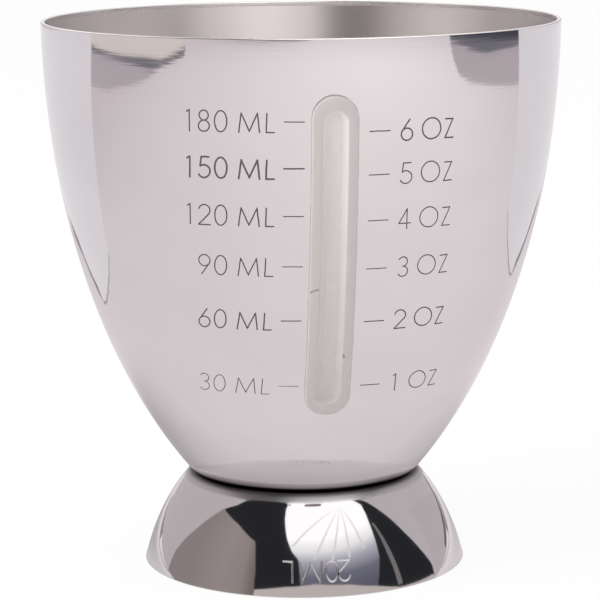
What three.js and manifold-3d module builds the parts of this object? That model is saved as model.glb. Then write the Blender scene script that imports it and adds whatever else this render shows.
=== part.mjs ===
// A double-ended bar jigger. A deep measuring cup with a silicone sight window in its wall stands on a
// small cup turned upside down, and the two flat bottoms are spot-welded together.
// Millimetres, +Z up, origin on the axis at the level of the foot's rim, sight window facing -Y.
import * as THREE from "three";
import { mergeVertices } from "three/addons/utils/BufferGeometryUtils.js";
import Module from "manifold-3d";

const DEGREES = Math.PI / 180;

// Sheet steel and main heights
const SHEET = 0.6;
const HEIGHT = 84;
const JOINT_Z = 14.4; // plane where the two flat bottoms meet
const CORNER_RADIUS = 1.5; // outside radius between a flat bottom and its wall
const EDGE_RADIUS = 0.12; // rounding of the sheet's cut edge at a rim

// Each cup by its outside: its wall leaves the corner at the flare angle and reaches the rim at a lean
// from upright, and each pull says how strongly the wall keeps to the slope at that end.
const LARGE_CUP = {
  rimRadius: 39.4,
  bottomRadius: 16.82,
  depth: HEIGHT - JOINT_Z,
  flare: 50.4 * DEGREES,
  flarePull: 23.6,
  lean: 0.4 * DEGREES,
  rimPull: 23.5,
  wallSteps: 16,
};
const SMALL_CUP = {
  rimRadius: 24.9,
  bottomRadius: 16.88,
  depth: JOINT_Z,
  flare: 53.4 * DEGREES,
  flarePull: 3.04,
  lean: 14.1 * DEGREES,
  rimPull: 8.2,
  wallSteps: 8,
};

// Sight window: widths are measured from its centre line, and its ends along the large cup's wall
const WINDOW_START = 16.1; // from the corner's end to the lower tip of the outer lip
const WINDOW_LENGTH = 49.5;
const OUTER_LIP_HALF_WIDTH = 3.35;
const INNER_LIP_HALF_WIDTH = 3.2;
const NECK_HALF_WIDTH = 2.3;
const SLOT_HALF_WIDTH = 2.4;
const CHANNEL_HALF_WIDTH = 1.75;
const CHANNEL_LOW_INSET = 0.7; // how much further in the channel's ends lie than its sides
const CHANNEL_HIGH_INSET = 0.5;
const OUTER_LIP_HEIGHT = 0.8; // above the outside of the sheet
const INNER_LIP_HEIGHT = 0.7; // below the inside of the sheet
const CHANNEL_FLOOR = -0.05; // the recessed pane's outer face, above the outside of the sheet
const CHANNEL_ROUNDING = 0.7; // where the channel's sides turn into its floor
const LIP_ROUNDING = 0.3;
const CHANNEL_EDGE_ROUNDING = 0.15;
const SEAT_GAP = 0.1; // between the lips and the sheet

// Spot welds
const WELD_COUNT = 4;
const WELD_RADIUS = 2;
const WELD_THICKNESS = 0.7;
const WELD_CIRCLE_RADIUS = 9.5;

// Facets
const TURN_SEGMENTS = 60;
const CORNER_STEPS = 4;
const EDGE_STEPS = 2;
const WINDOW_SIDE_STEPS = 16;
const WINDOW_END_STEPS = 8;
const WELD_SEGMENTS = 24;
const MERGE_DISTANCE = 1e-4;

const wasm = await Module();
wasm.setup();

// A closed geometry as a solid. Triangles that a merged vertex has collapsed are left out.
function solidOf(geometry) {
  const bare = new THREE.BufferGeometry();
  bare.setAttribute("position", geometry.getAttribute("position"));
  bare.setIndex(geometry.getIndex());
  const merged = mergeVertices(bare, MERGE_DISTANCE);
  const corners = merged.getIndex().array;
  const triVerts = [];
  for (let i = 0; i < corners.length; i += 3) {
    const triangle = corners.slice(i, i + 3);
    if (new Set(triangle).size === 3) triVerts.push(...triangle);
  }
  const mesh = new wasm.Mesh({
    numProp: 3,
    vertProperties: merged.getAttribute("position").array,
    triVerts: new Uint32Array(triVerts),
  });
  return new wasm.Manifold(mesh);
}

function geometryOf(solid) {
  const mesh = solid.getMesh();
  const geometry = new THREE.BufferGeometry();
  geometry.setAttribute("position", new THREE.BufferAttribute(mesh.vertProperties, 3));
  geometry.setIndex(new THREE.BufferAttribute(mesh.triVerts, 1));
  geometry.computeVertexNormals();
  return geometry;
}

// Points of a circular arc, both ends included, with angles from the +x direction.
function arc(x, y, radius, from, to, steps) {
  const points = [];
  for (let i = 0; i <= steps; i++) {
    const angle = THREE.MathUtils.lerp(from, to, i / steps);
    points.push(new THREE.Vector2(x + radius * Math.cos(angle), y + radius * Math.sin(angle)));
  }
  return points;
}

// The outside of a cup's wall, from the end of the bottom's corner to the rim, in the cup's own frame:
// x is the radius and y the height above the outside of the flat bottom.
function wallCurve(cup) {
  const start = new THREE.Vector2(
    cup.bottomRadius + CORNER_RADIUS * Math.sin(cup.flare),
    CORNER_RADIUS * (1 - Math.cos(cup.flare)),
  );
  const end = new THREE.Vector2(cup.rimRadius, cup.depth);
  return new THREE.CubicBezierCurve(
    start,
    new THREE.Vector2(
      start.x + cup.flarePull * Math.cos(cup.flare),
      start.y + cup.flarePull * Math.sin(cup.flare),
    ),
    new THREE.Vector2(
      end.x - cup.rimPull * Math.sin(cup.lean),
      end.y - cup.rimPull * Math.cos(cup.lean),
    ),
    end,
  );
}

// The closed section of a cup's sheet: outside of the bottom, wall, rim, and back down the inside.
function cupSection(cup) {
  const wall = wallCurve(cup);
  const outside = [];
  const inside = [];
  for (let i = 0; i < cup.wallSteps; i++) {
    const point = wall.getPointAt(i / cup.wallSteps);
    const along = wall.getTangentAt(i / cup.wallSteps);
    outside.push(point);
    inside.unshift(new THREE.Vector2(point.x - SHEET * along.y, point.y + SHEET * along.x));
  }
  const innerRim = cup.rimRadius - SHEET / Math.cos(cup.lean);
  const cornerEnd = cup.flare - Math.PI / 2;
  const corner = [cup.bottomRadius, CORNER_RADIUS];
  const edgeY = cup.depth - EDGE_RADIUS;
  return [
    new THREE.Vector2(0, 0),
    ...arc(...corner, CORNER_RADIUS, -Math.PI / 2, cornerEnd, CORNER_STEPS).slice(0, -1),
    ...outside,
    ...arc(cup.rimRadius - EDGE_RADIUS, edgeY, EDGE_RADIUS, 0, Math.PI / 2, EDGE_STEPS),
    ...arc(innerRim + EDGE_RADIUS, edgeY, EDGE_RADIUS, Math.PI / 2, Math.PI, EDGE_STEPS),
    ...inside,
    ...arc(...corner, CORNER_RADIUS - SHEET, cornerEnd, -Math.PI / 2, CORNER_STEPS).slice(1),
    new THREE.Vector2(0, SHEET),
  ];
}

// A section turned about the vertical axis.
function turned(section) {
  return solidOf(new THREE.LatheGeometry(section, TURN_SEGMENTS).rotateX(Math.PI / 2));
}

const largeWall = wallCurve(LARGE_CUP);
const largeWallLength = largeWall.getLength();

// A place on the large cup's wall, in the jigger's frame: along is the distance up the wall from the
// corner's end, across the distance round the cup from the window's centre line, and out the height
// above the outside of the sheet.
function wallPoint(along, across, out) {
  const share = along / largeWallLength;
  const foot = largeWall.getPointAt(share);
  const upWall = largeWall.getTangentAt(share);
  const turn = across / foot.x;
  const radius = foot.x + out * upWall.y;
  const height = JOINT_Z + foot.y - out * upWall.x;
  return new THREE.Vector3(radius * Math.sin(turn), -radius * Math.cos(turn), height);
}

// Places round a stadium: each one's share of the way along the centre line, and the way out from there.
function stadiumStations() {
  const stations = [];
  for (let i = 0; i <= WINDOW_SIDE_STEPS; i++) {
    stations.push({ share: i / WINDOW_SIDE_STEPS, angle: 0 });
  }
  for (let i = 1; i < WINDOW_END_STEPS; i++) {
    stations.push({ share: 1, angle: (Math.PI * i) / WINDOW_END_STEPS });
  }
  const back = stations.map(({ share, angle }) => ({ share: 1 - share, angle: angle + Math.PI }));
  return [...stations, ...back];
}

// A closed body swept round the window's stadium and bent to the wall. In the section, x is the
// distance from the centre line and y the height above the outside of the sheet. The last points, as
// many as channelPoints says, belong to the channel, whose ends lie further in.
function sweptRoundWindow(section, channelPoints = 0) {
  const low = WINDOW_START + OUTER_LIP_HALF_WIDTH;
  const high = WINDOW_START + WINDOW_LENGTH - OUTER_LIP_HALF_WIDTH;
  const firstInChannel = section.length - channelPoints;
  const stations = stadiumStations();
  const positions = [];
  const index = [];
  stations.forEach(({ share, angle }, row) => {
    const nextRow = (row + 1) % stations.length;
    const lipCentre = THREE.MathUtils.lerp(low, high, share);
    const channelCentre = THREE.MathUtils.lerp(low + CHANNEL_LOW_INSET, high - CHANNEL_HIGH_INSET, share);
    section.forEach((point, column) => {
      const centre = column < firstInChannel ? lipCentre : channelCentre;
      const along = centre + point.x * Math.sin(angle);
      positions.push(...wallPoint(along, point.x * Math.cos(angle), point.y));
      if (column + 1 === section.length) return;
      const near = row * section.length + column;
      const far = nextRow * section.length + column;
      index.push(near, far, far + 1, near, far + 1, near + 1);
    });
  });
  const geometry = new THREE.BufferGeometry();
  geometry.setAttribute("position", new THREE.Float32BufferAttribute(positions, 3));
  geometry.setIndex(index);
  return solidOf(geometry);
}

// The window's moulding: inner lip, neck through the slot, outer lip, and the recessed pane between.
function sightWindow() {
  const bottom = -SHEET - INNER_LIP_HEIGHT;
  const rounding = LIP_ROUNDING;
  const edge = CHANNEL_EDGE_ROUNDING;
  const innerArcX = INNER_LIP_HALF_WIDTH - rounding;
  const outerArcX = OUTER_LIP_HALF_WIDTH - rounding;
  const outerArcY = OUTER_LIP_HEIGHT - rounding;
  const floorArcX = CHANNEL_HALF_WIDTH - CHANNEL_ROUNDING;
  const floorArcY = CHANNEL_FLOOR + CHANNEL_ROUNDING;
  const lips = [
    new THREE.Vector2(0, bottom),
    ...arc(innerArcX, bottom + rounding, rounding, -Math.PI / 2, 0, EDGE_STEPS),
    new THREE.Vector2(INNER_LIP_HALF_WIDTH, -SHEET - SEAT_GAP),
    new THREE.Vector2(NECK_HALF_WIDTH, -SHEET - SEAT_GAP),
    new THREE.Vector2(NECK_HALF_WIDTH, SEAT_GAP),
    new THREE.Vector2(OUTER_LIP_HALF_WIDTH, SEAT_GAP),
    ...arc(outerArcX, outerArcY, rounding, 0, Math.PI / 2, EDGE_STEPS),
  ];
  const channel = [
    ...arc(CHANNEL_HALF_WIDTH + edge, OUTER_LIP_HEIGHT - edge, edge, Math.PI / 2, Math.PI, EDGE_STEPS),
    ...arc(floorArcX, floorArcY, CHANNEL_ROUNDING, 0, -Math.PI / 2, EDGE_STEPS),
    new THREE.Vector2(0, CHANNEL_FLOOR),
  ];
  return sweptRoundWindow([...lips, ...channel], channel.length);
}

function slotCutter() {
  return sweptRoundWindow([
    new THREE.Vector2(0, -2 * SHEET),
    new THREE.Vector2(SLOT_HALF_WIDTH, -2 * SHEET),
    new THREE.Vector2(SLOT_HALF_WIDTH, SHEET),
    new THREE.Vector2(0, SHEET),
  ]);
}

// The fused discs that hold the bottoms together, half in each sheet.
function weldSolids() {
  const welds = [];
  for (let i = 0; i < WELD_COUNT; i++) {
    const angle = ((i + 0.5) * 2 * Math.PI) / WELD_COUNT;
    const disc = new THREE.CylinderGeometry(WELD_RADIUS, WELD_RADIUS, WELD_THICKNESS, WELD_SEGMENTS);
    disc.rotateX(Math.PI / 2);
    disc.translate(WELD_CIRCLE_RADIUS * Math.cos(angle), WELD_CIRCLE_RADIUS * Math.sin(angle), JOINT_Z);
    welds.push(solidOf(disc));
  }
  return welds;
}

function without(solid, cutters) {
  return cutters.reduce((rest, cutter) => rest.subtract(cutter), solid);
}

// The large cup stands on the joint plane, and the small cup hangs upside down from it.
function largeCup(welds) {
  const section = cupSection(LARGE_CUP).map((p) => new THREE.Vector2(p.x, JOINT_Z + p.y));
  return without(turned(section), [slotCutter(), ...welds]);
}

function smallCup(welds) {
  const section = cupSection(SMALL_CUP).map((p) => new THREE.Vector2(p.x, JOINT_Z - p.y));
  return without(turned(section.reverse()), welds);
}

const brushedSteel = new THREE.MeshStandardMaterial({
  color: 0xc9c5c8,
  roughness: 0.28,
  metalness: 1,
});
const polishedSteel = new THREE.MeshStandardMaterial({
  color: 0xcfccce,
  roughness: 0.08,
  metalness: 1,
});
const weldSteel = new THREE.MeshStandardMaterial({
  color: 0x9c9794,
  roughness: 0.5,
  metalness: 1,
});
const silicone = new THREE.MeshStandardMaterial({
  color: 0xd6d1c9,
  roughness: 0.45,
  metalness: 0,
});

const jigger = new THREE.Group();

function addPiece(name, solid, material) {
  const mesh = new THREE.Mesh(geometryOf(solid), material);
  mesh.name = name;
  jigger.add(mesh);
}

const welds = weldSolids();
addPiece("large_cup", largeCup(welds), brushedSteel);
addPiece("small_cup", smallCup(welds), polishedSteel);
addPiece("sight_window", sightWindow(), silicone);
welds.forEach((weld, i) => addPiece("spot_weld_" + (i + 1), weld, weldSteel));

export default jigger;
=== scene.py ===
"""Looks of a double-ended bar jigger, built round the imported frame.

A deep cup with an engraved scale and a silicone sight window stands on a small polished cup.
Metres, +Z up, origin on the axis at the level of the foot's rim, the window facing -Y.
"""

import math

import bmesh  # noqa: E402
import bpy  # noqa: E402
import numpy as np  # noqa: E402
from mathutils import Matrix, Vector, noise  # noqa: E402


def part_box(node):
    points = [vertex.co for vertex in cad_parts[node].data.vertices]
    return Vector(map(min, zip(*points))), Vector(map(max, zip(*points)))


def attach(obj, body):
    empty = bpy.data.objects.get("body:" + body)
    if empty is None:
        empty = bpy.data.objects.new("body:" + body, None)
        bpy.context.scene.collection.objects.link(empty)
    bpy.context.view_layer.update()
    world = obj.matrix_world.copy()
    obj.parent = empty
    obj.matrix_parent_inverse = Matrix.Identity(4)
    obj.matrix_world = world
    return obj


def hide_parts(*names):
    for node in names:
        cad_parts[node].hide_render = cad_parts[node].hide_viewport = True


MM = 0.001
DEGREES = math.pi / 180

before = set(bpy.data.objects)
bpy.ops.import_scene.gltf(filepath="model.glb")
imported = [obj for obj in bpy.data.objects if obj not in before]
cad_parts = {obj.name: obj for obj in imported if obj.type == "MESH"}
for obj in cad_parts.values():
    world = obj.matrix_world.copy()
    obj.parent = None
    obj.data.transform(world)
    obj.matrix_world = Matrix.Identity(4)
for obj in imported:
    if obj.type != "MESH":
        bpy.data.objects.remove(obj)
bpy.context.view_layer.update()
noise.seed_set(1)  # so that the strokes stray the same way in every run

# ------------------------ sizes, from the frame where it has them

LARGE_RIM_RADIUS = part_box("large_cup")[1].x
SMALL_RIM_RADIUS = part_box("small_cup")[1].x
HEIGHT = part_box("large_cup")[1].z
JOINT_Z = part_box("small_cup")[1].z

SHEET = 0.6 * MM
CORNER_RADIUS = 1.5 * MM
EDGE_RADIUS = 0.16 * MM

# Sight window: widths from its centre line, and its ends along the large cup's wall
WINDOW_START = 16.35 * MM
WINDOW_LENGTH = 49.5 * MM
OUTER_LIP_HALF_WIDTH = 3.35 * MM
INNER_LIP_HALF_WIDTH = 3.2 * MM
NECK_HALF_WIDTH = 2.3 * MM
SLOT_HALF_WIDTH = 2.4 * MM
CHANNEL_HALF_WIDTH = 1.75 * MM
CHANNEL_LOW_INSET = 0.7 * MM  # how much further in the channel's ends lie than its sides
CHANNEL_HIGH_INSET = 0.5 * MM
OUTER_LIP_HEIGHT = 0.8 * MM
INNER_LIP_HEIGHT = 0.7 * MM
CHANNEL_FLOOR = -0.05 * MM
CHANNEL_SLOPE = 0.75 * MM  # width of the channel's sloping sides
LIP_ROUNDING = 0.3 * MM
CHANNEL_EDGE_ROUNDING = 0.15 * MM
SEAT_GAP = 0.02 * MM
EDGE_WAVE = 0.12 * MM  # how far the moulded edge strays

# Fineness of the meshes
SEGMENTS = 240
WALL_STEPS = 96
CORNER_STEPS = 10
RIM_STEPS = 8
BOTTOM_RINGS = 56
WELD_DISTANCE = 0.0001 * MM  # points closer than this are one


# ------------------------ the cups' walls


def arc(x, y, radius, start, end, steps):
    """Points of a circular arc, both ends included."""
    angles = np.linspace(start, end, steps + 1)
    return np.stack([x + radius * np.cos(angles), y + radius * np.sin(angles)], axis=1)


class Wall:
    """The outside of a cup's wall, from its bottom corner to its rim.

    In the cup's own frame x is the radius and y the height above the flat bottom. base is the level of
    that bottom in the jigger's frame, and up is 1 for a cup that stands and -1 for one upside down.
    """

    SAMPLES = 800

    def __init__(self, rim_radius, bottom_radius, depth, flare, flare_pull, lean, rim_pull, base, up):
        self.rim_radius, self.bottom_radius, self.depth = rim_radius, bottom_radius, depth
        self.flare, self.lean, self.base, self.up = flare, lean, base, up
        corner = CORNER_RADIUS * np.array([math.sin(flare), 1 - math.cos(flare)])
        start = corner + (bottom_radius, 0)
        end = np.array([rim_radius, depth])
        low = start + flare_pull * np.array([math.cos(flare), math.sin(flare)])
        high = end - rim_pull * np.array([math.sin(lean), math.cos(lean)])
        t = np.linspace(0, 1, self.SAMPLES)[:, None]
        s = 1 - t
        self.points = s**3 * start + 3 * s**2 * t * low + 3 * s * t**2 * high + t**3 * end
        slopes = s**2 * (low - start) + 2 * s * t * (high - low) + t**2 * (end - high)
        self.slopes = slopes / np.linalg.norm(slopes, axis=1)[:, None]
        steps = np.linalg.norm(np.diff(self.points, axis=0), axis=1)
        self.lengths = np.concatenate([[0.0], np.cumsum(steps)])
        self.length = self.lengths[-1]

    def foot(self, along):
        """Point and upward tangent of the wall at a distance from the corner's end, as four arrays."""
        columns = np.concatenate([self.points, self.slopes], axis=1).T
        return [np.interp(along, self.lengths, column) for column in columns]

    def along_at(self, height):
        """Distance up the wall at a height in the jigger's frame."""
        return float(np.interp(self.up * (height - self.base), self.points[:, 1], self.lengths))

    def place(self, along, across, out):
        """Points in the jigger's frame: up the wall, round the cup from the window, and off the sheet."""
        x, y, tx, ty = self.foot(along)
        turn = across / x
        radius = x + out * ty
        height = self.base + self.up * (y - out * tx)
        return np.stack([radius * np.sin(turn), -radius * np.cos(turn), height], axis=-1)

    def inside(self):
        """The inner face's points, SHEET in from the outer ones."""
        return self.points + SHEET * np.stack([-self.slopes[:, 1], self.slopes[:, 0]], axis=1)

    def section(self):
        """The sheet's closed section from axis to axis, and the zone of each stretch between its points."""
        along = np.linspace(0, self.length, WALL_STEPS + 1)[:-1]
        x, y, tx, ty = self.foot(along)
        outside = np.stack([x, y], axis=1)
        inside = np.stack([x - SHEET * ty, y + SHEET * tx], axis=1)[::-1]
        inner_rim = self.rim_radius - SHEET / math.cos(self.lean)
        corner = (self.bottom_radius, CORNER_RADIUS)
        corner_end = self.flare - math.pi / 2
        edge_y = self.depth - EDGE_RADIUS
        rings = np.linspace(0, self.bottom_radius, BOTTOM_RINGS + 1)
        zones = [
            ("outside", np.stack([rings[:-1], np.zeros(BOTTOM_RINGS)], axis=1)),
            ("outside", arc(*corner, CORNER_RADIUS, -math.pi / 2, corner_end, CORNER_STEPS)[:-1]),
            ("outside", outside),
            ("edge", arc(self.rim_radius - EDGE_RADIUS, edge_y, EDGE_RADIUS, 0, math.pi / 2, RIM_STEPS)),
            ("edge", arc(inner_rim + EDGE_RADIUS, edge_y, EDGE_RADIUS, math.pi / 2, math.pi, RIM_STEPS)[1:]),
            ("inside", inside),
            ("inside", arc(*corner, CORNER_RADIUS - SHEET, corner_end, -math.pi / 2, CORNER_STEPS)[1:]),
            ("inside", np.stack([rings[:-1], np.full(BOTTOM_RINGS, SHEET)], axis=1)[::-1]),
        ]
        points = np.concatenate([stretch for _, stretch in zones])
        names = [name for name, stretch in zones for _ in stretch]
        return points, names[:-1]


LARGE_WALL = Wall(
    rim_radius=LARGE_RIM_RADIUS,
    bottom_radius=16.82 * MM,
    depth=HEIGHT - JOINT_Z,
    flare=50.4 * DEGREES,
    flare_pull=23.6 * MM,
    lean=0.4 * DEGREES,
    rim_pull=23.5 * MM,
    base=JOINT_Z,
    up=1,
)
SMALL_WALL = Wall(
    rim_radius=SMALL_RIM_RADIUS,
    bottom_radius=16.7 * MM,
    depth=JOINT_Z,
    flare=43 * DEGREES,
    flare_pull=0.9 * MM,
    lean=13.5 * DEGREES,
    rim_pull=9.0 * MM,
    base=JOINT_Z,
    up=-1,
)

WELD_BOXES = [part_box(name) for name in sorted(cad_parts) if name.startswith("spot_weld")]
WELD_RADIUS = (WELD_BOXES[0][1].x - WELD_BOXES[0][0].x) / 2


# ------------------------ meshes


def linked(name, data):
    """A new object in the scene."""
    made = bpy.data.objects.new(name, data)
    bpy.context.scene.collection.objects.link(made)
    return made


def new_object(name, vertices, faces):
    """A smooth-shaded object from points and a list of faces."""
    mesh = bpy.data.meshes.new(name)
    mesh.from_pydata([tuple(v) for v in vertices], [], faces)
    mesh.shade_smooth()
    return linked(name, mesh)


def ring_faces(rows, columns, closed=False):
    """Faces between neighbouring rings of columns points each, and from the last to the first if closed."""
    faces = []
    for row in range(rows if closed else rows - 1):
        near, far = row * columns, (row + 1) % rows * columns
        for column in range(columns):
            beside = (column + 1) % columns
            faces.append((near + column, near + beside, far + beside, far + column))
    return faces


def tube_faces(rows, columns, closed):
    """Faces of a tube of rows of columns points each, joined end to end or capped at both ends."""
    faces = ring_faces(rows, columns, closed)
    if not closed:
        faces.append(tuple(range(columns))[::-1])
        faces.append(tuple((rows - 1) * columns + column for column in range(columns)))
    return faces


def strip_faces(columns):
    """Faces between two rows of points."""
    return [(i, i + 1, columns + i + 1, columns + i) for i in range(columns - 1)]


def outward(piece, weld=False):
    """Turns a closed mesh's faces outward, once its doubled points are one if weld says so."""
    shape = bmesh.new()
    shape.from_mesh(piece.data)
    if weld:
        bmesh.ops.remove_doubles(shape, verts=shape.verts, dist=WELD_DISTANCE)
    bmesh.ops.recalc_face_normals(shape, faces=shape.faces)
    shape.to_mesh(piece.data)
    shape.free()


def turned_cup(name, wall, materials):
    """A cup's sheet turned about the axis, with electrode marks pressed into the inner bottom."""
    section, zones = wall.section()
    angles = np.arange(SEGMENTS) * 2 * math.pi / SEGMENTS
    rings = section[1:-1]
    x = rings[:, 0][:, None] * np.cos(angles)
    y = rings[:, 0][:, None] * np.sin(angles)
    z = np.repeat(wall.base + wall.up * rings[:, 1][:, None], SEGMENTS, axis=1)
    inner = np.isclose(rings[:, 1], SHEET)[:, None] & (rings[:, 0] < wall.bottom_radius)[:, None]
    z = z - wall.up * inner * electrode_mark(x, y)
    points = np.stack([x, y, z], axis=-1).reshape(-1, 3)
    first, last = len(points), len(points) + 1
    ends = [(0, 0, wall.base), (0, 0, wall.base + wall.up * SHEET)]
    names = list(materials)
    top = (len(rings) - 1) * SEGMENTS
    faces = []
    slots = []
    for segment in range(SEGMENTS):
        beside = (segment + 1) % SEGMENTS
        faces += [(first, beside, segment), (last, top + segment, top + beside)]
        slots += [names.index(zones[0]), names.index(zones[-1])]
    faces += ring_faces(len(rings), SEGMENTS)
    for zone in zones[1:-1]:
        slots += [names.index(zone)] * SEGMENTS
    if wall.up < 0:
        faces = [face[::-1] for face in faces]
    piece = new_object(name, np.concatenate([points, ends]), faces)
    for material in materials.values():
        piece.data.materials.append(material)
    piece.data.polygons.foreach_set("material_index", slots)
    return piece


MARK_DEPTH = 0.1 * MM
MARK_WALL = 0.5 * MM
MARK_RING = 0.02 * MM


def electrode_mark(x, y):
    """How deep the welding electrodes have pressed the inner bottom at a place."""
    depth = np.zeros(np.broadcast(x, y).shape)
    for low, high in WELD_BOXES:
        centre = (low + high) / 2
        distance = np.hypot(x - centre.x, y - centre.y)
        share = np.clip((WELD_RADIUS + MARK_WALL - distance) / MARK_WALL, 0, 1)
        ring = np.exp(-(((distance - WELD_RADIUS - 1.4 * MARK_WALL) / (0.5 * MARK_WALL)) ** 2))
        depth += MARK_DEPTH * share * share * (3 - 2 * share) - MARK_RING * ring
    return depth


def stations(side_steps, end_steps):
    """Places round a stadium: each one's share of the way along the centre line, and the way out."""
    half = [(i / side_steps, 0.0) for i in range(side_steps + 1)]
    half += [(1.0, math.pi * i / end_steps) for i in range(1, end_steps)]
    return half + [(1 - share, angle + math.pi) for share, angle in half]


def swept_window(name, section, side_steps, end_steps, channel_points=0, wave=0.0, slots=None):
    """A closed body swept round the window's stadium and bent to the large cup's wall.

    In the section x is the distance from the centre line and y the height above the sheet. The last
    points, as many as channel_points says, belong to the channel, whose ends lie further in. The outer
    lip's edge strays inwards by the wave. slots gives the material index of each stretch of the section.
    """
    low = WINDOW_START + OUTER_LIP_HALF_WIDTH
    high = WINDOW_START + WINDOW_LENGTH - OUTER_LIP_HALF_WIDTH
    in_channel = np.arange(len(section)) >= len(section) - channel_points
    start = low + CHANNEL_LOW_INSET * in_channel
    end = high - CHANNEL_HIGH_INSET * in_channel
    lip_share = (section[:, 0] - CHANNEL_HALF_WIDTH) / (OUTER_LIP_HALF_WIDTH - CHANNEL_HALF_WIDTH)
    strays = np.clip(lip_share, 0, 1) * (section[:, 1] > 0)
    places = stations(side_steps, end_steps)
    points = []
    for share, angle in places:
        centre = start + (end - start) * share
        x = section[:, 0] - strays * edge_stray(centre[0], angle, wave)
        points.append(LARGE_WALL.place(centre + x * math.sin(angle), x * math.cos(angle), section[:, 1]))
    rows, columns = len(places), len(section)
    faces = []
    for row in range(rows):
        near, far = row * columns, (row + 1) % rows * columns
        faces += [(near + i, far + i, far + i + 1, near + i + 1) for i in range(columns - 1)]
    piece = new_object(name, np.concatenate(points), faces)
    if slots is not None:
        piece.data.polygons.foreach_set("material_index", np.tile(slots, rows).tolist())
    outward(piece, weld=True)
    return piece


def edge_stray(centre, angle, wave):
    """How far in the moulded edge lies at a place, always inwards of the full lip."""
    spot = Vector((math.cos(angle) * 2, centre / (1.6 * MM), math.sin(angle) * 2))
    return wave * (0.5 + 0.5 * noise.noise(spot) + 0.3 * noise.noise(spot * 2.7))


EDGE_STEPS = 8
GRIME_AND_SHADE_STEPS = 3  # how many steps up the outer lip's rounding the grime and painted contact shadow reach
PANE_STEPS = 7
SLOPE_STEPS = 10


def window_section():
    """The moulding's section, how many of its points are the channel's, and its material indices.

    It runs from the inner lip through the neck and the outer lip to the recessed pane between. Its stretches
    are clean moulding, 0, the outer lip's darker edge, grime with painted contact shadow, 1, or the pane, 2.
    """
    bottom = -SHEET - INNER_LIP_HEIGHT
    r = LIP_ROUNDING
    edge = CHANNEL_EDGE_ROUNDING
    inner = np.concatenate([
        np.stack([np.linspace(0, INNER_LIP_HALF_WIDTH - r, 10)[:-1], np.full(9, bottom)], axis=1),
        arc(INNER_LIP_HALF_WIDTH - r, bottom + r, r, -math.pi / 2, 0, 6),
        [(INNER_LIP_HALF_WIDTH, -SHEET - SEAT_GAP), (NECK_HALF_WIDTH, -SHEET - SEAT_GAP)],
        [(NECK_HALF_WIDTH, SEAT_GAP), (OUTER_LIP_HALF_WIDTH, SEAT_GAP)],
    ])
    outer = np.concatenate([
        arc(OUTER_LIP_HALF_WIDTH - r, OUTER_LIP_HEIGHT - r, r, 0, math.pi / 2, EDGE_STEPS),
        [(OUTER_LIP_HALF_WIDTH - 2.5 * r, OUTER_LIP_HEIGHT)],
    ])
    slope = np.linspace(0, 1, SLOPE_STEPS + 1)[1:]
    foot = CHANNEL_HALF_WIDTH - CHANNEL_SLOPE
    drop = OUTER_LIP_HEIGHT - edge - CHANNEL_FLOOR
    channel = np.concatenate([
        arc(CHANNEL_HALF_WIDTH + edge, OUTER_LIP_HEIGHT - edge, edge, math.pi / 2, math.pi, 6),
        np.stack([
            CHANNEL_HALF_WIDTH - CHANNEL_SLOPE * slope**1.3,
            CHANNEL_FLOOR + drop * (1 - slope) ** 1.15,
        ], axis=1),
        np.stack([np.linspace(foot, 0, PANE_STEPS + 1)[1:], np.full(PANE_STEPS, CHANNEL_FLOOR)], axis=1),
    ])
    points = np.concatenate([inner, outer, channel])
    slots = np.zeros(len(points) - 1, int)
    slots[len(inner) - 1 : len(inner) + GRIME_AND_SHADE_STEPS] = 1
    slots[-PANE_STEPS - SLOPE_STEPS :] = 2
    return points, len(channel), slots


# ------------------------ marks cut in the walls


def ring_stroke(x, y, rx, ry):
    """A closed oval stroke."""
    angles = np.linspace(0, 2 * math.pi, 49)[:-1]
    return np.stack([x + rx * np.cos(angles), y + ry * np.sin(angles)], axis=1), True


def bow_stroke(x, y, radius, start, end):
    """An open arc stroke, with its angles in degrees."""
    return arc(x, y, radius, start * DEGREES, end * DEGREES, 28), False


def lines(*ends):
    """Straight strokes from each place to the next."""
    return [(np.array(pair, float), False) for pair in zip(ends, ends[1:])]


# A single-stroke alphabet on a cap height of 1, centred on x = 0
GLYPHS = {
    "0": [ring_stroke(0, 0.5, 0.30, 0.5)],
    "1": lines((-0.14, 0.92), (0, 1), (0, 0)),
    "2": [bow_stroke(0, 0.71, 0.29, 165, -38), *lines((0.229, 0.531), (-0.30, 0), (0.31, 0))],
    "3": [bow_stroke(0, 0.76, 0.24, 150, -90), bow_stroke(0, 0.265, 0.265, 90, -150)],
    "4": lines((0.12, 0), (0.12, 1), (-0.30, 0.28), (0.30, 0.28)),
    "5": [*lines((0.24, 1), (-0.14, 1), (-0.20, 0.57)), bow_stroke(-0.01, 0.31, 0.31, 128, -150)],
    "6": [*lines((0.14, 1), (-0.25, 0.44)), ring_stroke(0, 0.29, 0.29, 0.29)],
    "8": [ring_stroke(0, 0.765, 0.235, 0.235), ring_stroke(0, 0.265, 0.275, 0.265)],
    "9": [*lines((-0.14, 0), (0.25, 0.56)), ring_stroke(0, 0.71, 0.29, 0.29)],
    "O": [ring_stroke(0, 0.5, 0.5, 0.5)],
    "M": lines((-0.55, 0), (-0.42, 1), (0.01, 0.06), (0.43, 1), (0.55, 0)),
    "L": lines((0.03, 1), (0, 0), (0.42, 0)),
    "Z": lines((-0.23, 1), (0.24, 1), (-0.25, 0), (0.26, 0)),
}

BATCHES = 3  # neighbouring strokes of a glyph go in different batches, so that no batch overlaps itself


def resampled(points, closed, spacing):
    """A stroke's points at an even spacing."""
    path = np.concatenate([points, points[:1]]) if closed else points
    lengths = np.concatenate([[0.0], np.cumsum(np.linalg.norm(np.diff(path, axis=0), axis=1))])
    count = max(3, int(round(lengths[-1] / spacing)))
    marks = np.linspace(0, lengths[-1], count + 1)
    even = np.stack([np.interp(marks, lengths, path[:, i]) for i in range(2)], axis=1)
    return even[:-1] if closed else even


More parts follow.
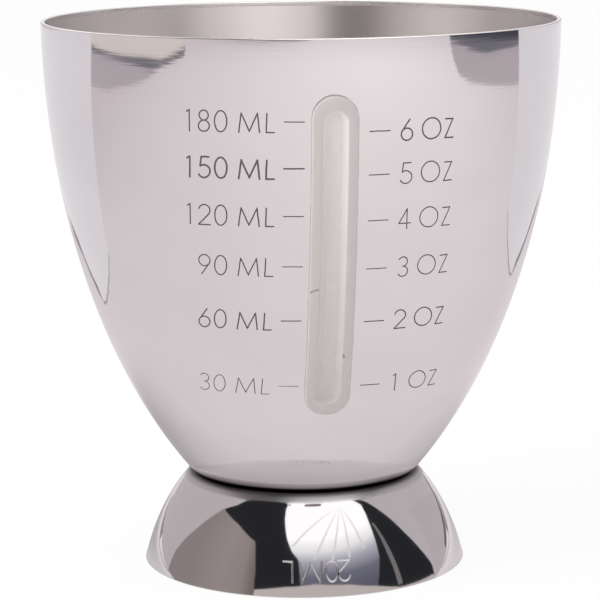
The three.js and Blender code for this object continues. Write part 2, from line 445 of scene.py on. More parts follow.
STROKE_SPACING = 0.22 * MM
WOBBLE = 0.035 * MM  # how far a stroke strays
WOBBLE_LENGTH = 0.9 * MM
CUTTER_TOP = 0.15 * MM  # how far a cutter stands out of the wall


def stroke_cutter(marks, points, closed, width):
    """A groove's cutter, swept along a stroke given as (across, along) on the marks' wall.

    Its section is a round-bottomed channel below the marks' level, and its open ends are rounded off.
    """
    path = resampled(points, closed, STROKE_SPACING)
    for point in path:
        spot = Vector((point[0] / WOBBLE_LENGTH, point[1] / WOBBLE_LENGTH, marks.count))
        point += WOBBLE * np.array(noise.noise_vector(spot)[:2])
    if closed:
        tangents = np.roll(path, -1, axis=0) - np.roll(path, 1, axis=0)
        scales = np.ones(len(path))
    else:
        tangents = np.gradient(path, axis=0)
    tangents = tangents / np.linalg.norm(tangents, axis=1)[:, None]
    if not closed:
        cap = np.array([30, 60, 80]) * DEGREES
        reach = width / 2 * np.sin(cap)[:, None]
        path = np.concatenate([path[0] - reach[::-1] * tangents[0], path, path[-1] + reach * tangents[-1]])
        tangents = np.pad(tangents, ((len(cap), len(cap)), (0, 0)), "edge")
        scales = np.concatenate([np.cos(cap)[::-1], np.ones(len(path) - 2 * len(cap)), np.cos(cap)])
    sideways = np.stack([-tangents[:, 1], tangents[:, 0]], axis=1)
    depth = marks.depth
    half = np.array([(0.5, CUTTER_TOP), (0.5, -0.15 * depth), (0.36, -0.7 * depth), (0.14, -depth)])
    section = np.concatenate([half, half[::-1] * (-1, 1)])
    centre = path[:, None, :] + section[None, :, :1] * width * scales[:, None, None] * sideways[:, None, :]
    out = np.broadcast_to(marks.level + section[:, 1], centre.shape[:2])
    rows = marks.wall.place(centre[..., 1], centre[..., 0], out)
    return rows.reshape(-1, 3), tube_faces(len(path), len(section), closed)


class Marks:
    """The strokes to be cut in one cup's wall, or in what lies on it up to a level, in batches."""

    def __init__(self, wall, depth, level=0.0):
        self.wall, self.depth, self.level = wall, depth, level
        self.batches = [([], []) for _ in range(BATCHES)]
        self.count = 0

    def add_stroke(self, points, closed, width, batch):
        vertices, faces = stroke_cutter(self, points, closed, width)
        cutters, cutter_faces = self.batches[batch % BATCHES]
        start = sum(map(len, cutters))
        cutters.append(vertices)
        cutter_faces += [tuple(start + i for i in face) for face in faces]
        self.count += 1

    def add_glyph(self, character, across, along, size, width, turn=1):
        """A character with its middle at a place. A turn of -1 sets it upside down."""
        for batch, (points, closed) in enumerate(GLYPHS[character]):
            x = across + turn * points[:, 0] * size
            y = along + turn * self.wall.up * (points[:, 1] - 0.5) * size
            self.add_stroke(np.stack([x, y], axis=1), closed, width, batch)

    def cutters(self, name, material):
        """One closed cutter object for each batch."""
        made = []
        for i, (vertices, faces) in enumerate(self.batches):
            if not vertices:
                continue
            piece = new_object(f"{name}_{i}", np.concatenate(vertices), faces)
            outward(piece)
            piece.data.materials.append(material)
            made.append(piece)
        return made


# The scale's lines: height, text, width of the lettering's strokes and of the line itself
ML_LINES = (
    (72.48, "180", 0.2, 0.15),
    (65.87, "150", 0.27, 0.22),
    (59.0, "120", 0.2, 0.15),
    (51.6, "90", 0.18, 0.14),
    (43.38, "60", 0.20, 0.17),
    (33.03, "30", 0.13, 0.10),
)
OZ_LINES = (
    (70.95, "6", 0.22, 0.17),
    (64.75, "5", 0.18, 0.15),
    (58.12, "4", 0.17, 0.14),
    (51.0, "3", 0.17, 0.14),
    (42.98, "2", 0.20, 0.17),
    (32.83, "1", 0.17, 0.15),
)
DIGIT_SIZE = 3.0 * MM
LETTER_SIZE = 2.7 * MM
ML_TICK = (-7.07 * MM, -4.27 * MM)
OZ_TICK = (4.93 * MM, 7.88 * MM)
ML_DIGITS = (-20.77 * MM, -18.57 * MM, -16.07 * MM)  # hundreds, tens and ones
ML_LETTERS = (("M", -11.97 * MM, LETTER_SIZE), ("L", -9.57 * MM, LETTER_SIZE))
OZ_DIGIT = 10.43 * MM
OZ_LETTERS = (("O", 14.33 * MM, DIGIT_SIZE), ("Z", 17.23 * MM, LETTER_SIZE))
ENGRAVING_DEPTH = 0.1 * MM


def scale_line(marks, height, tick, digits, letters, strokes):
    """One line of the scale: its tick, its digits and its unit, which share a baseline."""
    along = LARGE_WALL.along_at(height * MM)
    lettering, line = strokes
    marks.add_stroke(np.array([(x, along) for x in tick]), False, line * MM, 0)
    for character, across in digits:
        marks.add_glyph(character, across, along, DIGIT_SIZE, lettering * MM)
    for character, across, size in letters:
        marks.add_glyph(character, across, along - (DIGIT_SIZE - size) / 2, size, lettering * MM)


def scale_marks():
    """The millilitre scale left of the window and the ounce scale right of it."""
    marks = Marks(LARGE_WALL, ENGRAVING_DEPTH)
    for height, text, *strokes in ML_LINES:
        digits = zip(text[::-1], ML_DIGITS[::-1])
        scale_line(marks, height, ML_TICK, digits, ML_LETTERS, strokes)
    for height, text, *strokes in OZ_LINES:
        scale_line(marks, height, OZ_TICK, [(text, OZ_DIGIT)], OZ_LETTERS, strokes)
    return marks


# Wear on the window's outer lip, as (across, along) on the wall: a nick and a dark speck in a pit
NICK = ((-2.95 * MM, 37.3 * MM), (-2.5 * MM, 37.55 * MM), (-2.0 * MM, 37.6 * MM))
SPECK = ((2.0 * MM, 26.6 * MM), (1.95 * MM, 27.1 * MM))
WEAR_WIDTH = 0.36 * MM
WEAR_DEPTH = 0.28 * MM


def window_wear():
    """The nick and the pit in the window's outer lip."""
    marks = Marks(LARGE_WALL, WEAR_DEPTH, OUTER_LIP_HEIGHT)
    for batch, line in enumerate((NICK, SPECK)):
        marks.add_stroke(np.array(line), False, WEAR_WIDTH, batch)
    return marks


STAMP_HEIGHT = 3.7 * MM  # the stamp's middle above the foot's rim
STAMP_SIZE = 3.05 * MM
STAMP_STROKE = 0.34 * MM
STAMP_DEPTH = 0.11 * MM
STAMP = (("2", 3.14 * MM), ("0", 1.22 * MM), ("M", -1.9 * MM), ("L", -4.65 * MM))  # places round the cup


def stamp_marks():
    """The small cup's capacity, upright when that cup is on top."""
    marks = Marks(SMALL_WALL, STAMP_DEPTH)
    along = SMALL_WALL.along_at(STAMP_HEIGHT)
    for character, across in STAMP:
        marks.add_glyph(character, across, along, STAMP_SIZE, STAMP_STROKE, turn=-1)
    return marks


POCKET_GAP = 0.02 * MM


def weld_pockets():
    """Cutters that leave room for the fused discs in the two bottoms."""
    made = []
    for i, (low, high) in enumerate(WELD_BOXES):
        shape = bmesh.new()
        bmesh.ops.create_cone(
            shape,
            cap_ends=True,
            segments=48,
            radius1=WELD_RADIUS + POCKET_GAP,
            radius2=WELD_RADIUS + POCKET_GAP,
            depth=high.z - low.z + 2 * POCKET_GAP,
            matrix=Matrix.Translation((low + high) / 2),
        )
        pocket = new_object(f"pocket_{i}", [], [])
        shape.to_mesh(pocket.data)
        shape.free()
        made.append(pocket)
    return made


def carve(piece, cutters):
    """Cuts the cutters out of a piece, and takes them away."""
    for cutter in cutters:
        modifier = piece.modifiers.new("carve", "BOOLEAN")
        modifier.operation = "DIFFERENCE"
        modifier.solver = "MANIFOLD"
        modifier.object = cutter
    graph = bpy.context.evaluated_depsgraph_get()
    carved = bpy.data.meshes.new_from_object(piece.evaluated_get(graph))
    piece.modifiers.clear()
    piece.data = carved
    for cutter in cutters:
        bpy.data.objects.remove(cutter)


def listed(items, name, width=1, kind=int):
    """One property of all of a mesh's items, as an array."""
    values = np.empty(len(items) * width, kind)
    items.foreach_get(name, values)
    return values.reshape(-1, width) if width > 1 else values


def true_wall_normals(piece, wall):
    """Gives the wall's faces the normals of its true curve, so that cuts leave no shading round them.

    A cup's first material is its outside's, and its second its inside's.
    """
    mesh = piece.data
    mesh.set_sharp_from_angle(angle=40 * DEGREES)
    places = listed(mesh.vertices, "co", 3, float)[listed(mesh.loops, "vertex_index")]
    slots = np.repeat(listed(mesh.polygons, "material_index"), listed(mesh.polygons, "loop_total"))
    normals = listed(mesh.corner_normals, "vector", 3, np.float32)
    radius = np.hypot(places[:, 0], places[:, 1])
    height = wall.up * (places[:, 2] - wall.base)
    for slot, side, curve in ((0, 1, wall.points), (1, -1, wall.inside())):
        chosen = (slots == slot) & (height >= curve[0, 1]) & (height <= curve[-1, 1])
        slope_x = np.interp(height[chosen], curve[:, 1], wall.slopes[:, 0])
        slope_y = np.interp(height[chosen], curve[:, 1], wall.slopes[:, 1])
        around = places[chosen, :2] / radius[chosen, None]
        normals[chosen, :2] = side * slope_y[:, None] * around
        normals[chosen, 2] = -side * wall.up * slope_x
    mesh.normals_split_custom_set(normals)


# ------------------------ materials

VECTORS = "ShaderNodeVectorMath"


class Nodes:
    """A node tree, with short calls to add and join nodes."""

    def __init__(self, tree):
        self.tree = tree

    def put(self, value, socket):
        """Joins another node's output to a socket, or gives the socket a plain value."""
        if isinstance(value, bpy.types.NodeSocket):
            self.tree.links.new(value, socket)
        else:
            socket.default_value = value

    def add(self, kind, **settings):
        """A new node, with its inputs and properties by name."""
        node = self.tree.nodes.new(kind)
        for key, value in settings.items():
            if key in node.inputs:
                self.put(value, node.inputs[key])
            else:
                setattr(node, key, value)
        return node

    def maths(self, operation, *values, kind="ShaderNodeMath", output="Value"):
        """What an operation makes of its values."""
        node = self.add(kind, operation=operation)
        for value, socket in zip(values, node.inputs):
            self.put(value, socket)
        return node.outputs[output]

    def mixed(self, factor, under, over, blend="MIX"):
        """One colour over another."""
        mix = self.add("ShaderNodeMix", data_type="RGBA", blend_type=blend, Factor=factor, A=under, B=over)
        return mix.outputs["Result"]

    def place(self):
        """The object's own coordinates."""
        return self.add("ShaderNodeTexCoord").outputs["Object"]

    def height(self):
        """The last of the object's own coordinates."""
        return self.add("ShaderNodeSeparateXYZ", Vector=self.place()).outputs["Z"]

    def distance_from(self, spot):
        """How far a place is from a spot."""
        return self.maths("DISTANCE", self.place(), spot, kind=VECTORS)

    def stretched_noise(self, scale, detail=4.0, roughness=0.6):
        """Noise on the object's coordinates, with a scale in waves per metre along each axis."""
        mapping = self.add("ShaderNodeMapping", Scale=scale, Vector=self.place())
        texture = self.add("ShaderNodeTexNoise", Scale=1.0, Detail=detail, Roughness=roughness)
        self.put(mapping.outputs["Vector"], texture.inputs["Vector"])
        return texture.outputs["Fac"]

    def ramp(self, source, low, high, start=0.0, end=1.0):
        """A value that goes from low to high as the source goes from start to end."""
        node = self.add("ShaderNodeMapRange", Value=source)
        for name, value in (("From Min", start), ("From Max", end), ("To Min", low), ("To Max", high)):
            node.inputs[name].default_value = value
        return node.outputs["Result"]

    def colours(self, source, *stops):
        """A colour ramp of (position, colour) stops."""
        node = self.add("ShaderNodeValToRGB", Fac=source)
        elements = node.color_ramp.elements
        while len(elements) < len(stops):
            elements.new(0.5)
        for element, (position, colour) in zip(elements, stops):
            element.position = position
            element.color = (*colour, 1)
        return node.outputs["Color"]

    def bump(self, height, strength, distance, under=None):
        node = self.add("ShaderNodeBump", Strength=strength, Distance=distance, Height=height)
        if under is not None:
            self.put(under, node.inputs["Normal"])
        return node.outputs["Normal"]


class Material(Nodes):
    """A material's node tree."""

    def __init__(self, name):
        self.material = bpy.data.materials.new(name)
        self.material.use_nodes = True
        super().__init__(self.material.node_tree)
        self.shader = self.tree.nodes["Principled BSDF"]

    def set(self, **values):
        """Sets or joins the shader's inputs, named with _ for a space."""
        for key, value in values.items():
            self.put(value, self.shader.inputs[key.replace("_", " ")])


def joint_distance(m):
    """How far above or below the joint between the cups a place is."""
    return m.maths("ABSOLUTE", m.maths("SUBTRACT", m.height(), JOINT_Z))


def with_painted_crease_shade(m, colour, start, end):
    """A colour with painted shade in the crease over it, near black, full up to start and gone from end on.
    """
    return m.mixed(m.ramp(joint_distance(m), 1.0, 0.0, start, end), colour, (0.035, 0.03, 0.028, 1))


def with_painted_joint_shade(m, colour, share, reach):
    """A colour that falls to a share of itself at the joint: painted shade near the crease between the cups.
    """
    fall = m.ramp(joint_distance(m), share, 1.0, 0.0, reach)
    tint = m.add("ShaderNodeCombineColor", Red=fall, Green=fall, Blue=fall)
    return m.mixed(1.0, colour, tint.outputs["Color"], "MULTIPLY")


def grained_steel(name, anisotropy):
    """Steel whose grain runs round the axis."""
    m = Material(name)
    tangent = m.add("ShaderNodeTangent", direction_type="RADIAL", axis="Z")
    m.set(Metallic=1.0, Anisotropic=anisotropy, Anisotropic_Rotation=0.25, Tangent=tangent.outputs["Tangent"])
    return m


def satin_steel():
    """The large cup's outside: bright, with very fine polishing lines round it, and painted shade darkening
    it towards the joint and in the crease.
    """
    m = grained_steel("satin_steel", 0.4)
    fine = m.stretched_noise((40, 40, 9000))
    broad = m.stretched_noise((60, 60, 1500), detail=3.0)
    slow = m.stretched_noise((25, 25, 160), detail=2.0)
    cloud = m.stretched_noise((45, 45, 70), detail=2.0)
    colour = m.colours(cloud, (0.3, (0.70, 0.68, 0.69)), (0.7, (0.735, 0.715, 0.715)))
    # painted shade: the colour falls towards the joint and goes near black in the crease
    colour = with_painted_joint_shade(m, colour, 0.72, 4 * MM)
    m.set(Base_Color=with_painted_crease_shade(m, colour, 0.05 * MM, 0.25 * MM), Roughness=m.ramp(fine, 0.03, 0.06))
    first = m.bump(slow, 0.5, 0.00001)
    second = m.bump(broad, 0.5, 0.000006, first)
    m.set(Normal=m.bump(fine, 0.35, 0.0000005, second))
    return m.material


def turned_steel():
    """The cups' inside: turned on a lathe, duller, with grain round it."""
    m = grained_steel("turned_steel", 0.98)
    level = m.maths("MULTIPLY", m.place(), (1, 1, 0), kind=VECTORS, output="Vector")
    radius = m.maths("LENGTH", level, kind=VECTORS)
    both = m.add("ShaderNodeCombineXYZ", X=radius, Y=m.height()).outputs["Vector"]
    grain = m.add("ShaderNodeTexNoise", Vector=both, Scale=5200.0, Detail=3.0, Roughness=0.7)
    broken = m.stretched_noise((60, 60, 3000))
    first = m.bump(grain.outputs["Fac"], 0.3, 0.000004)
    m.set(Base_Color=weld_tint(m), Roughness=m.ramp(broken, 0.36, 0.5))
    m.set(Normal=m.bump(broken, 0.4, 0.000004, first))
    return m.material


def weld_tint(m):
    """The steel's colour, with straw and blue rings where the welding heat has tinted it."""
    centre = (WELD_BOXES[0][0] + WELD_BOXES[0][1]) / 2
    fold = m.maths("ABSOLUTE", m.place(), kind=VECTORS, output="Vector")
    away = m.maths("DISTANCE", fold, (abs(centre.x), abs(centre.y), centre.z), kind=VECTORS)
    return m.colours(
        m.ramp(away, 0, 1, 0, 6 * MM),
        (0.0, (0.47, 0.45, 0.45)),
        (0.3, (0.52, 0.47, 0.44)),
        (0.42, (0.50, 0.51, 0.58)),
        (0.52, (0.62, 0.56, 0.48)),
        (0.7, (0.82, 0.785, 0.78)),
    )


def polished_steel(name, tone, roughness):
    """Polished steel with a faint orange peel and a few wiping marks, matt close to the joint, with painted
    shade darkening its colour there and in the crease.
    """
    m = Material(name)
    cloud = m.stretched_noise((60, 60, 90), detail=2.0)
    dim = (tone, tone * 0.98, tone * 0.985)
    bright = (tone * 1.03, tone * 1.01, tone)
    # painted shade: the colour falls towards the joint and goes near black in the crease
    colour = with_painted_joint_shade(m, m.colours(cloud, (0.3, dim), (0.7, bright)), 0.45, 1.5 * MM)
    wiping = m.ramp(m.stretched_noise((150, 150, 1200), detail=5.0), roughness, roughness + 0.045)
    matt = m.ramp(joint_distance(m), 0.3, 0.0, 1.25 * MM, 1.6 * MM)
    peel = m.stretched_noise((420, 420, 420), detail=2.0)
    m.set(Metallic=1.0, Base_Color=with_painted_crease_shade(m, colour, 0.25 * MM, 0.8 * MM))
    m.set(Roughness=m.maths("ADD", wiping, matt), Normal=m.bump(peel, 0.18, 0.00001))
    return m.material


def burnt(name, metallic, low, high):
    """What lines the engraved marks and the pits in the window: dark, speckled and rough."""
    m = Material(name)
    speckle = m.stretched_noise((5000, 5000, 5000), detail=3.0)
    m.set(Metallic=metallic, Base_Color=m.colours(speckle, (0.3, low), (0.75, high)))
    m.set(Roughness=m.ramp(speckle, 0.45, 0.7), Normal=m.bump(speckle, 0.6, 0.00003))
    return m.material


def silicone(name, low, high):
    """Milky silicone rubber with a fine moulded haze, paler from the foot up: painted light towards the top
    and painted shade towards the foot.
    """
    m = Material(name)
    m.set(Subsurface_Weight=0.3, Subsurface_Scale=0.0006, Subsurface_Radius=(1.0, 0.85, 0.7), IOR=1.41)
    cloud = m.ramp(m.stretched_noise((1500, 1500, 300), detail=5.0, roughness=0.7), 0.38, 0.62)
    # painted light and shade: the colour climbs from darker at the foot to paler at the top
    climb = m.ramp(m.height(), -0.25, 0.25, JOINT_Z, HEIGHT)
    haze = m.stretched_noise((2500, 2500, 900), detail=3.0)
    m.set(Base_Color=m.colours(m.maths("ADD", cloud, climb), (0.2, low), (0.8, high)))
    m.set(Roughness=m.ramp(haze, 0.28, 0.48), Normal=m.bump(haze, 0.5, 0.000015))
    return m.material


def weld_steel():
    """The fused discs: dull, heat-tinted steel."""
    m = Material("weld_steel")
    grain = m.stretched_noise((2500, 2500, 2500), detail=4.0)
    m.set(Metallic=1.0, Base_Color=m.colours(grain, (0.3, (0.30, 0.27, 0.25)), (0.7, (0.42, 0.39, 0.40))))
    m.set(Roughness=m.ramp(grain, 0.4, 0.65), Normal=m.bump(grain, 0.5, 0.00002))
    return m.material


# ------------------------ the pieces


def make_large_cup():
    engraving = burnt("engraved_steel", 0.35, (0.09, 0.075, 0.07), (0.27, 0.24, 0.23))
    materials = {
        "outside": satin_steel(),
        "inside": turned_steel(),
        "edge": polished_steel("rim_steel", 0.80, 0.25),
        "mark": engraving,
    }
    piece = turned_cup("large_cup_steel", LARGE_WALL, materials)
    slot = swept_window(
        "slot_cutter",
        np.array([(0, -2 * SHEET), (SLOT_HALF_WIDTH, -2 * SHEET), (SLOT_HALF_WIDTH, SHEET), (0, SHEET)]),
        side_steps=60,
        end_steps=24,
    )
    slot.data.materials.append(materials["outside"])
    carve(piece, [slot, *scale_marks().cutters("scale", engraving), *weld_pockets()])
    true_wall_normals(piece, LARGE_WALL)
    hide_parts("large_cup")
    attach(piece, "root")


def make_small_cup():
    stamped = polished_steel("stamped_steel", 0.74, 0.18)
    materials = {
        "outside": polished_steel("mirror_steel", 0.76, 0.03),
        "inside": turned_steel(),
        "edge": polished_steel("foot_rim_steel", 0.70, 0.22),
        "mark": stamped,
    }
    piece = turned_cup("small_cup_steel", SMALL_WALL, materials)
    carve(piece, [*stamp_marks().cutters("stamp", stamped), *weld_pockets()])
    true_wall_normals(piece, SMALL_WALL)
    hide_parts("small_cup")
    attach(piece, "root")


def make_window():
    section, channel_points, slots = window_section()
    piece = swept_window("sight_window_silicone", section, 150, 40, channel_points, EDGE_WAVE, slots)
    for name, low, high in (
        ("silicone", (0.64, 0.595, 0.58), (0.72, 0.675, 0.66)),
        # the outer lip's edge: darker silicone for grime and painted contact shadow
        ("grime_and_shade_silicone", (0.40, 0.36, 0.34), (0.54, 0.49, 0.47)),
        # the pane is a lighter copy of the silicone, painted light in the recessed channel, strongest towards
        # the top
        ("silicone_pane", (0.62, 0.585, 0.57), (0.95, 0.905, 0.895)),
    ):
        piece.data.materials.append(silicone(name, low, high))
    # near-black lining of the nick and the pit: painted shade in the nick's groove, and a dark speck in the
    # pit
    dark_pit_lining = burnt("dark_pit_lining", 0.0, (0.03, 0.025, 0.02), (0.14, 0.12, 0.11))
    carve(piece, window_wear().cutters("wear", dark_pit_lining))
    piece.data.set_sharp_from_angle(angle=50 * DEGREES)
    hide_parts("sight_window")
    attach(piece, "root")


def finish_welds():
    """The discs keep their CAD shape and take the weld's finish."""
    finish = weld_steel()
    for name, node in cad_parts.items():
        if name.startswith("spot_weld"):
            node.data.materials.clear()
            node.data.materials.append(finish)


# ------------------------ camera, light and surroundings

CAMERA_DISTANCE = 401.3 * MM  # from the jigger's axis
CAMERA_HEIGHT = 113.1 * MM
CAMERA_AZIMUTH = -6.9 * DEGREES  # the window lies a little to the right of the line of sight
CAMERA_PITCH = 10.261 * DEGREES
CAMERA_YAW = -0.06 * DEGREES
CAMERA_ROLL = 0.4 * DEGREES
SENSOR = 36.0
FOCAL_LENGTH = 158.0


def make_camera():
    data = bpy.data.cameras.new("camera")
    data.sensor_width = SENSOR
    data.lens = FOCAL_LENGTH
    data.clip_start = 0.01
    data.clip_end = 50
    camera = linked("camera", data)
    heading = -CAMERA_AZIMUTH + CAMERA_YAW
    level = math.cos(CAMERA_PITCH)
    forward = Vector((math.sin(heading) * level, math.cos(heading) * level, -math.sin(CAMERA_PITCH)))
    right = Vector((math.cos(heading), -math.sin(heading), 0))
    up = right.cross(forward)
    rolled = right * math.cos(CAMERA_ROLL) - up * math.sin(CAMERA_ROLL)
    above = right * math.sin(CAMERA_ROLL) + up * math.cos(CAMERA_ROLL)
    turn = Matrix((rolled, above, -forward)).transposed().to_4x4()
    x, y, _ = toward(0, 0, CAMERA_DISTANCE)
    camera.matrix_world = Matrix.Translation((x, y, CAMERA_HEIGHT)) @ turn
    bpy.context.scene.camera = camera


# The studio's linear colours: in the steel, as light on rough surfaces, behind the jigger, and on cards
STUDIO_GREY = (0.56, 0.518, 0.54)
DIFFUSE_LIGHT = (0.69, 0.68, 0.69)
BACKGROUND = (1.05, 1.05, 1.05)  # just past white, so that it stays even
SHEET_WHITE = (0.873, 0.846, 0.8775)
CARD_GREY = (0.55, 0.50, 0.53)
CARD_DARK = (0.20, 0.195, 0.225)
CARD_BLACK = (0.07, 0.07, 0.09)
CARD_BEIGE = (0.82, 0.755, 0.725)
EDGE_SHADE = (0.33, 0.30, 0.32)
RIB_GREY = (0.80, 0.79, 0.81)
BLACK = (0.022, 0.023, 0.027)


class Stage(Material):
    """A self-lit finish for the floor and the cards."""

    def __init__(self, name, colour=STUDIO_GREY):
        super().__init__(name)
        self.emission = self.add("ShaderNodeEmission", Color=(*colour, 1))
        self.output = next(node for node in self.tree.nodes if node.type == "OUTPUT_MATERIAL")
        self.put(self.emission.outputs["Emission"], self.output.inputs["Surface"])


def toward(bearing, elevation, distance):
    """A place by its bearing from the line to the camera, positive to the right, and its elevation.

    The distance is measured along the floor.
    """
    angle = bearing * DEGREES + CAMERA_AZIMUTH
    return (distance * math.sin(angle), -distance * math.cos(angle), distance * math.tan(elevation * DEGREES))


def reflected_only(piece, finish):
    """Adds a card that only reflections see. Its finish is a colour or a self-lit material."""
    if isinstance(finish, tuple):
        finish = Stage(piece.name, finish).material
    piece.data.materials.append(finish)
    for rays in ("camera", "shadow", "diffuse", "transmission"):
        setattr(piece, f"visible_{rays}", False)


def upright_card(name, columns, distance, finish):
    """A curved card round the jigger, given as (bearing, lower elevation, upper elevation) columns."""
    bearings, lows, highs = np.array(columns, float).T
    fine = np.linspace(bearings[0], bearings[-1], 60)
    points = [toward(b, e, distance) for b, e in zip(fine, np.interp(fine, bearings, lows))]
    points += [toward(b, e, distance) for b, e in zip(fine, np.interp(fine, bearings, highs))]
    reflected_only(new_object(name, points, strip_faces(len(fine))), finish)


def flat_card(name, corners, faces, distance, finish):
    """A flat card on edge, given as (bearing, elevation) corners."""
    reflected_only(new_object(name, [toward(*corner, distance) for corner in corners], faces), finish)


def on_floor(outline):
    """Places on the floor, from (bearing, distance in millimetres) corners."""
    return np.array([toward(bearing, 0, distance * MM) for bearing, distance in outline])


def floor_card(name, outline, layer, finish):
    """A sheet lying on the floor, some layers up so that it covers the sheets below."""
    corners = on_floor(outline) + (0, 0, layer * FLOOR_LAYER)
    reflected_only(new_object(name, corners, [tuple(range(len(corners)))]), finish)


def kerb(name, line, height, finish):
    """The upright edge of a sheet on the floor, in the colour it is given, which paints the shadow under that
    edge.
    """
    feet = on_floor(line)
    points = np.concatenate([feet, feet + (0, 0, height)])
    reflected_only(new_object(name, points, strip_faces(len(feet))), finish)


FLOOR_SIZE = 3.0
FLOOR_LAYER = 0.15 * MM
SHEET_LAYER = 5  # how many layers up the white sheets lie
LIFTED_EDGE = 6 * MM  # height of the shadow under a white sheet's raised edge
FLOOR_GLOW = 0.85  # how much of the floor's look is even light, the rest takes shadows


def make_floor():
    """A pale sweep that looks white, and lilac grey in reflections, with a faint contact shadow."""
    s = FLOOR_SIZE
    floor = new_object("floor", [(-s, -s, 0), (s, -s, 0), (s, s, 0), (-s, s, 0)], [(0, 1, 2, 3)])
    m = Stage("floor")
    m.set(Roughness=0.9, Specular_IOR_Level=0.0, Base_Color=(0.9, 0.88, 0.885, 1))
    path = m.add("ShaderNodeLightPath")
    in_view = path.outputs["Is Camera Ray"]
    m.put(m.mixed(in_view, floor_sheen(m), (*BACKGROUND, 1)), m.emission.inputs["Color"])
    seen = m.maths("MAXIMUM", in_view, path.outputs["Is Glossy Ray"])
    mix = m.add("ShaderNodeMixShader", Fac=m.maths("MULTIPLY", seen, FLOOR_GLOW))
    m.put(m.shader.outputs["BSDF"], mix.inputs[1])
    m.put(m.emission.outputs["Emission"], mix.inputs[2])
    m.put(mix.outputs["Shader"], m.output.inputs["Surface"])
    floor.data.materials.append(m.material)


def floor_sheen(m):
    """The floor in reflections: a painted pool of light in front on the right, lilac grey away from there.

    A painted shadow darkens it close behind the foot.
    """
    sheen = m.colours(
        m.distance_from(toward(29, 0, 0.5)),
        (0.05, (1.16, 1.14, 1.15)),
        (0.35, (1.0, 0.965, 0.975)),
        (0.57, (0.85, 0.80, 0.815)),
        (0.8, (0.70, 0.64, 0.665)),
    )
    # painted shadow close behind the foot
    near = m.ramp(m.distance_from(toward(-170, 0, 0.04)), 0, 1, 0, 0.105)
    stops = ((0.14, 0.45), (0.33, 0.55), (0.45, 0.78), (0.57, 0.96), (0.67, 1.0))
    shade = m.colours(near, *[(share, (v, v * 0.985, v)) for share, v in stops])
    return m.mixed(1.0, sheen, shade, "MULTIPLY")


def make_world():
    """Even light, seen white by the camera and lilac grey by the steel."""
    world = bpy.data.worlds.new("studio")
    world.use_nodes = True
    m = Nodes(world.node_tree)
    path = m.add("ShaderNodeLightPath")
    unseen = m.mixed(path.outputs["Is Glossy Ray"], (*DIFFUSE_LIGHT, 1), (*STUDIO_GREY, 1))
    tone = m.mixed(path.outputs["Is Camera Ray"], unseen, (*BACKGROUND, 1))
    m.put(tone, m.tree.nodes["Background"].inputs["Color"])
    bpy.context.scene.world = world
    bpy.context.scene.view_settings.view_transform = "Standard"


KEY_POWER = 4.3
KEY_SIZE = 0.5
KEY_DISTANCE = 0.9


def make_key():
    """A soft light from the front left. The steel doesn't mirror it."""
    data = bpy.data.lights.new("key", "AREA")
    data.energy = KEY_POWER
    data.size = KEY_SIZE
    key = linked("key", data)
    key.location = toward(-62, 30, KEY_DISTANCE)
    key.rotation_euler = (-key.location).to_track_quat("-Z", "Y").to_euler()
    key.visible_glossy = False
    key.visible_camera = False


def umbrella_glow():
    """White at the top, falling to a dark blue-grey at its lower edge."""
    m = Stage("umbrella")
    low, high = (toward(0, elevation, UMBRELLA_DISTANCE)[2] for elevation in (12, 40))
    fall = m.colours(
        m.ramp(m.height(), 0, 1, low, high),
        (0.0, (0.12, 0.12, 0.16)),
        (0.25, (0.18, 0.18, 0.24)),
        (0.5, (0.50, 0.50, 0.57)),
        (0.7, (0.98, 0.97, 1.0)),
        (1.0, (1.3, 1.29, 1.3)),
    )
    m.put(fall, m.emission.inputs["Color"])
    return m.material


def brown_glow():
    """Grey-brown, darker towards the camera."""
    m = Stage("brown_wall")
    tones = m.colours(
        m.maths("DOT_PRODUCT", m.place(), toward(0, 0, 1 / WALL_DISTANCE), kind=VECTORS),
        (0.0, (0.30, 0.26, 0.255)),
        (0.45, (0.36, 0.31, 0.305)),
        (0.68, (0.33, 0.285, 0.275)),
        (0.82, (0.17, 0.145, 0.14)),
    )
    m.put(tones, m.emission.inputs["Color"])
    return m.material


# Uprights stand further out than the large cup's reflections reach above the floor
UMBRELLA_DISTANCE = 1.45
FLAG_DISTANCE = 1.55
WALL_DISTANCE = 1.65
BOARD_TOP = [(-36, 11.9), (-15, 15), (8, 16.6), (32, 14.5), (52, 10.5), (71, 6), (90, 3.5), (104, 1.5)]


